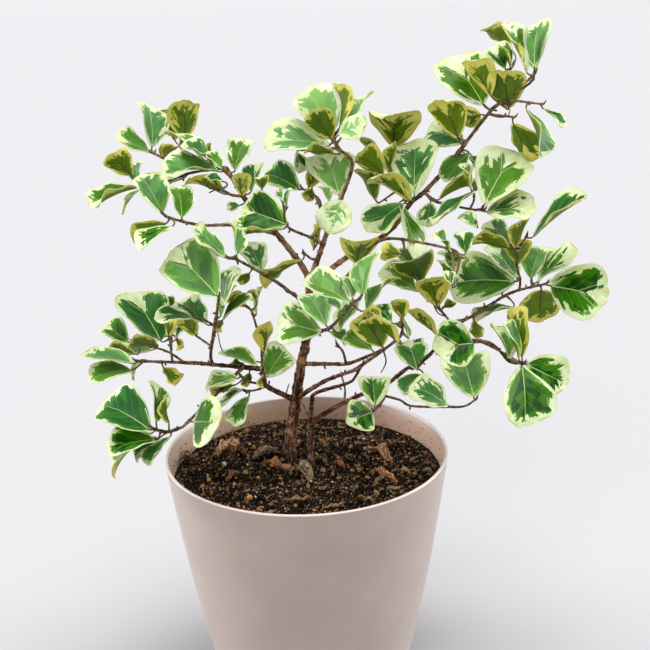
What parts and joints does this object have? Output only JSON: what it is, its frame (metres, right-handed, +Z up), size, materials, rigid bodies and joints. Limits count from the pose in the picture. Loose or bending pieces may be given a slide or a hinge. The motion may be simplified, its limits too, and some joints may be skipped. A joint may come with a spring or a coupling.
{
  "type": "potted triangle fig",
  "caption": "Small bushy fig with triangular cream-edged green leaves on slim woody stems, growing from soil in a plain tapered round pot.",
  "frame": {"origin": "middle of the pot's flat base, on the surface it stands on", "axes": "+Z up, +X towards the side on which the crown reaches highest, +Y towards the back of the pictured view"},
  "size_m": [0.4108, 0.2382, 0.5157],
  "materials": {
    "pot": "matte taupe, smooth, slim rounded lip",
    "soil": "dark crumbly potting mix",
    "bark": "brown bark with nodes and bud scars",
    "leaf": "leathery, glossy, green with cream margins"
  },
  "bodies": {
    "root": {"pot": "pot", "soil": "soil", "main_stem": "bark", "second_stem": "bark", "upper_left_spray": "leaf", "mid_left_spray": "leaf", "inner_left_spray": "leaf", "top_spray": "leaf", "neck_spray": "leaf", "fork_spray": "leaf", "shoulder_spray": "leaf", "low_left_spray": "leaf", "left_riser_spray": "leaf", "far_left_spray": "leaf", "bottom_left_spray": "leaf", "heart_spray": "leaf", "crossing_spray": "leaf", "front_spray": "leaf", "right_low_spray": "leaf", "right_mid_spray": "leaf", "mid_right_spray": "leaf", "far_right_spray": "leaf", "upper_right_spray": "leaf", "right_spray": "leaf"}
  },
  "joints": []
}
